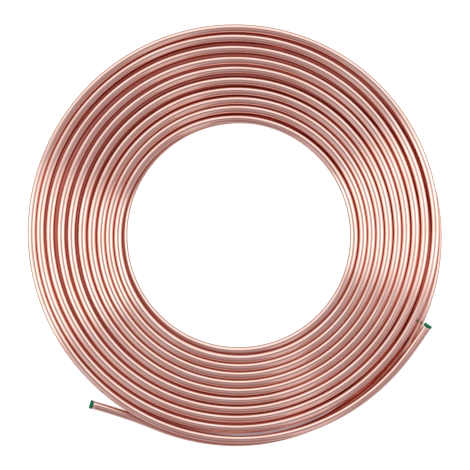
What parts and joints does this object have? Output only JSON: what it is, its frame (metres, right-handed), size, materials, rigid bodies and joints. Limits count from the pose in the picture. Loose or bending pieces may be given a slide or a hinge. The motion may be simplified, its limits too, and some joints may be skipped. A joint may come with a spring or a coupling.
{
  "type": "copper tube coil",
  "caption": "Flat two-layer coil of bright soft copper tube, wound round an open bore, with both free ends outside and closed by green plastic plugs",
  "frame": {"origin": "the middle of the coil's footprint, on the floor that it lies on", "axes": "+Z is the coil's axis and points up from the floor; the end of the lower layer leaves the coil at -X -Y, and the end of the upper layer at +X -Y"},
  "size_m": [0.3286, 0.3332, 0.013],
  "materials": {
    "bright_copper": "bright drawn copper, bare and untarnished",
    "green_plastic": "soft moulded plastic"
  },
  "bodies": {
    "root": {"copper_tube": "bright_copper", "end_plug_lower": "green_plastic", "end_plug_upper": "green_plastic"}
  },
  "joints": []
}
